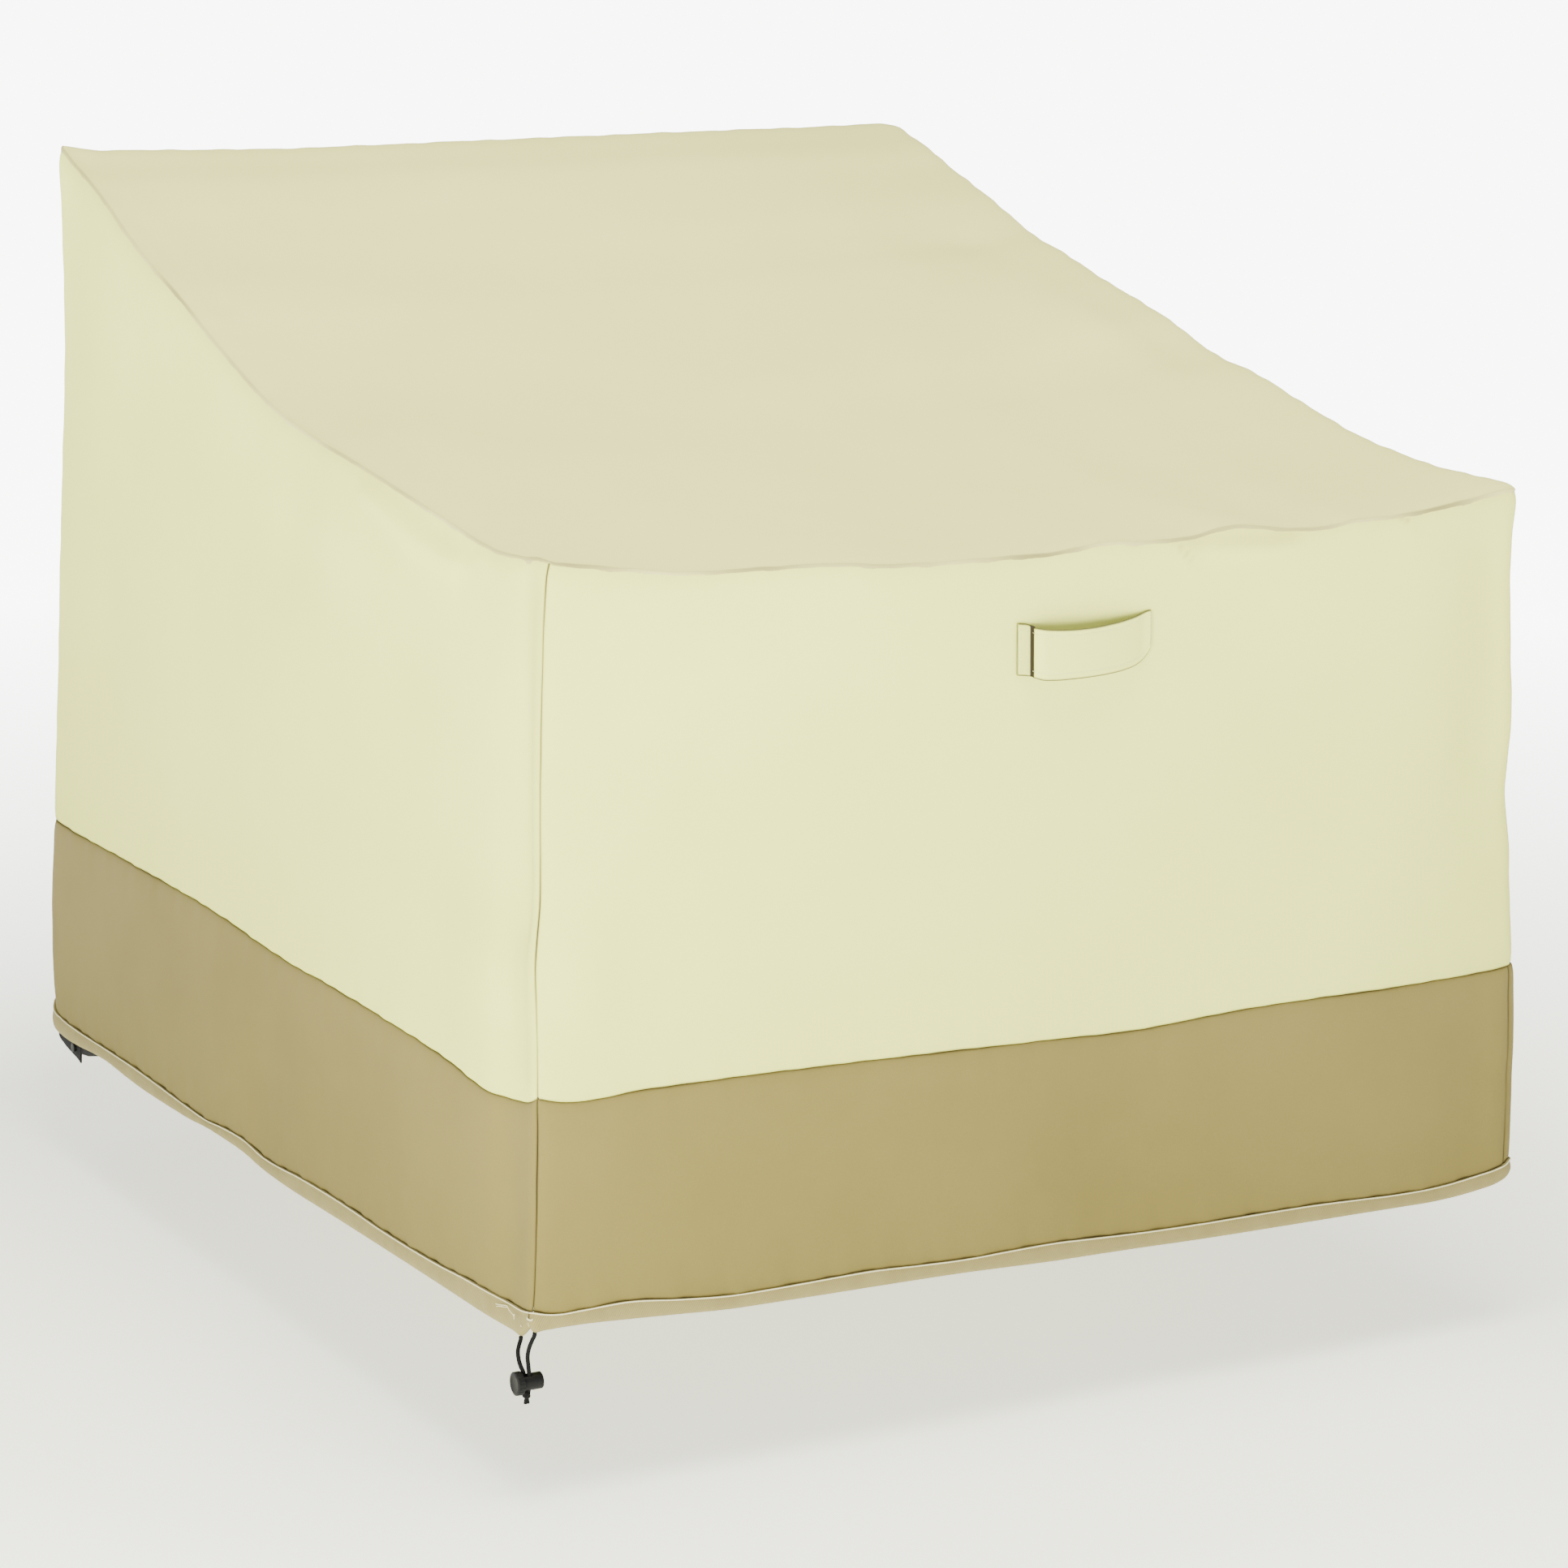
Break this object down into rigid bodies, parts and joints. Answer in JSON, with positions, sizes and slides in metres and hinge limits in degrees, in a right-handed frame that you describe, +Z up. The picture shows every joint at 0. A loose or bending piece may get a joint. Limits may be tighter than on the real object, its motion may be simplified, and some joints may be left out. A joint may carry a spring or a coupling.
{
  "type": "patio chair cover",
  "caption": "Fitted cloth cover for a patio lounge chair: sloping top, straight walls, tan lower band, corded hem and front carry handle.",
  "frame": {"origin": "underside of the top panel, in the middle of its width and 520 mm behind the front wall, where the chair inside carries the cover", "axes": "+Z up, +X to the right as seen from the front, +Y from the low front wall to the high back wall"},
  "size_m": [0.9196, 1.0423, 0.8531],
  "materials": {
    "cream_cloth": "plain-weave coated polyester, soft satin sheen",
    "cream_top": "plain-weave coated polyester, soft satin sheen",
    "tan_cloth": "plain-weave coated polyester, soft satin sheen",
    "twill_tape": "twill binding tape, matt",
    "black_webbing": "woven polyester webbing, matt",
    "black_cord": "braided cord, matt",
    "black_plastic": "moulded plastic, satin"
  },
  "bodies": {
    "root": {"front_panel": "cream_cloth", "right_panel": "cream_cloth", "back_panel": "cream_cloth", "left_panel": "cream_cloth", "top_panel": "cream_top", "band_front": "tan_cloth", "band_right": "tan_cloth", "band_back": "tan_cloth", "band_left": "tan_cloth", "hem_tape": "twill_tape", "handle": "cream_cloth", "leg_strap": "black_webbing", "leg_strap_lap": "black_webbing", "strap_snap": "black_plastic", "drawcord_left": "black_cord", "drawcord_right": "black_cord", "cord_lock": "black_plastic", "cord_lock_button": "black_plastic", "cord_knot": "black_cord"}
  },
  "joints": []
}
